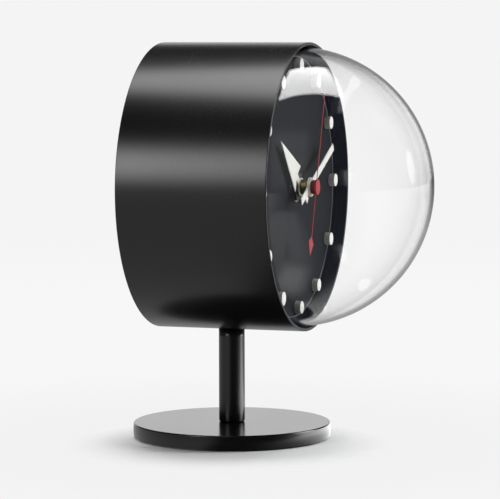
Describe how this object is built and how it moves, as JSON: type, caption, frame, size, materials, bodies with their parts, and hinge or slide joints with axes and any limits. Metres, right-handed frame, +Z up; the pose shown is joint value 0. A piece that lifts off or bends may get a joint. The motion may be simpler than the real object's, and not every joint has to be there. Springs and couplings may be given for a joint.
{
  "type": "bedside clock",
  "caption": "Bedside clock: a tube case under a clear dome on a slim stem and round foot, with baton and dart hands, hour pegs and a quartz movement inside.",
  "frame": {"origin": "middle of the foot's underside, on the stem's axis", "axes": "+Z up along the stem, -Y towards the viewer of the dial, +X to the right seen from the front"},
  "size_m": [0.11, 0.1168, 0.1523],
  "materials": {
    "black_lacquer": "black satin lacquer on steel",
    "black_plastic": "black moulded plastic, fine spark texture",
    "dial_grey": "charcoal matt paint",
    "marker_white": "white painted face on a turned metal pin",
    "clear_acrylic": "clear polished acrylic",
    "pad_rubber": "black rubber",
    "gasket_rubber": "black rubber",
    "screw_steel": "zinc plated steel",
    "spring_steel": "polished steel",
    "core_steel": "rolled nickel iron",
    "can_steel": "drawn metal can",
    "black_nut": "blackened brass",
    "movement_plastic": "black moulded plastic",
    "acetal": "natural moulded acetal",
    "brass": "turned brass",
    "hand_white": "white paint on aluminium",
    "bush_white": "white paint on brass",
    "hand_red": "red paint on aluminium",
    "tube_red": "dark red paint on brass",
    "magnet": "bonded magnet",
    "copper_wire": "enamelled copper wire",
    "board_green": "green solder mask",
    "chip_black": "black epoxy",
    "contact_nickel": "nickel plated brass strip",
    "battery_sleeve": null
  },
  "bodies": {
    "root": {"case_tube": "black_lacquer", "carrier_ring": "black_plastic", "rear_stop_ring": "black_plastic", "dial_plate": "dial_grey", "hour_marker_1": "marker_white", "hour_marker_2": "marker_white", "hour_marker_3": "marker_white", "hour_marker_4": "marker_white", "hour_marker_5": "marker_white", "hour_marker_6": "marker_white", "hour_marker_7": "marker_white", "hour_marker_8": "marker_white", "hour_marker_9": "marker_white", "hour_marker_10": "marker_white", "hour_marker_11": "marker_white", "hour_marker_12": "marker_white", "dome": "clear_acrylic", "stem": "black_lacquer", "base_disc": "black_lacquer", "base_pad": "pad_rubber", "base_screw": "screw_steel", "stem_screw": "screw_steel", "saddle_washer": "screw_steel", "front_housing": "movement_plastic", "rear_housing": "movement_plastic", "housing_screws": "screw_steel", "train_bridge": "acetal", "dial_gasket": "gasket_rubber", "bush_washer": "screw_steel", "bush_nut": "black_nut", "stator": "core_steel", "coil_core": "core_steel", "coil_bobbin": "acetal", "coil_winding": "copper_wire", "circuit_board": "board_green", "quartz_crystal": "can_steel", "chip": "chip_black", "positive_contact": "contact_nickel", "negative_contact": "contact_nickel"},
    "rear_cover": {"rear_cover": "black_plastic"},
    "battery": {"battery": "battery_sleeve"},
    "hour": {"hour_wheel": "acetal", "hour_hand": "hand_white", "hour_collet": "brass"},
    "minute": {"cannon_pinion": "brass", "clutch_spring": "spring_steel", "minute_hand": "hand_white", "minute_bush": "bush_white"},
    "minute_wheel": {"minute_wheel": "brass"},
    "minute_work": {"minute_work_wheel": "acetal"},
    "set_knob": {"set_knob": "black_plastic", "set_pinion": "acetal"},
    "third": {"third_wheel": "acetal"},
    "seconds": {"second_arbor": "spring_steel", "second_wheel": "acetal", "second_hand": "hand_red", "second_tube": "tube_red"},
    "intermediate": {"intermediate_wheel": "acetal"},
    "rotor": {"rotor_magnet": "magnet", "rotor_pinion": "acetal"}
  },
  "joints": [
    {"name": "seconds", "type": "hinge", "parent": "root", "child": "seconds", "pos_m": [0, 0, 0.0973], "axis": [0, 1, 0], "continuous": true},
    {"name": "minute", "type": "hinge", "parent": "root", "child": "minute", "pos_m": [0, 0, 0.0973], "axis": [0, 1, 0], "continuous": true},
    {"name": "hour", "type": "hinge", "parent": "root", "child": "hour", "pos_m": [0, 0, 0.0973], "axis": [0, 1, 0], "continuous": true},
    {"name": "minute_wheel", "type": "hinge", "parent": "root", "child": "minute_wheel", "pos_m": [0, 0, 0.0973], "axis": [0, 1, 0], "continuous": true},
    {"name": "minute_work", "type": "hinge", "parent": "root", "child": "minute_work", "pos_m": [0.0048, 0, 0.10561], "axis": [0, 1, 0], "continuous": true},
    {"name": "third", "type": "hinge", "parent": "root", "child": "third", "pos_m": [-0.01149, 0, 0.10038], "axis": [0, 1, 0], "continuous": true},
    {"name": "intermediate", "type": "hinge", "parent": "root", "child": "intermediate", "pos_m": [0.009, 0, 0.0973], "axis": [0, 1, 0], "continuous": true},
    {"name": "rotor", "type": "hinge", "parent": "root", "child": "rotor", "pos_m": [0.016, 0, 0.0973], "axis": [0, 1, 0], "continuous": true},
    {"name": "set_knob", "type": "hinge", "parent": "root", "child": "set_knob", "pos_m": [0.01382, 0, 0.1089], "axis": [0, 1, 0], "continuous": true},
    {"name": "rear_cover", "type": "slide", "parent": "root", "child": "rear_cover", "axis": [0, 1, 0], "range_m": [0, 0.045]},
    {"name": "battery", "type": "slide", "parent": "root", "child": "battery", "axis": [0, 1, 0], "range_m": [0, 0.02]}
  ],
  "couplings": [
    {"joint": "third", "follows": "seconds", "ratio": -0.13333},
    {"joint": "minute_wheel", "follows": "seconds", "ratio": 0.016667},
    {"joint": "intermediate", "follows": "seconds", "ratio": -5},
    {"joint": "rotor", "follows": "seconds", "ratio": 30},
    {"joint": "hour", "follows": "minute", "ratio": 0.083333},
    {"joint": "minute_work", "follows": "minute", "ratio": -0.33333},
    {"joint": "set_knob", "follows": "minute", "ratio": 1}
  ]
}
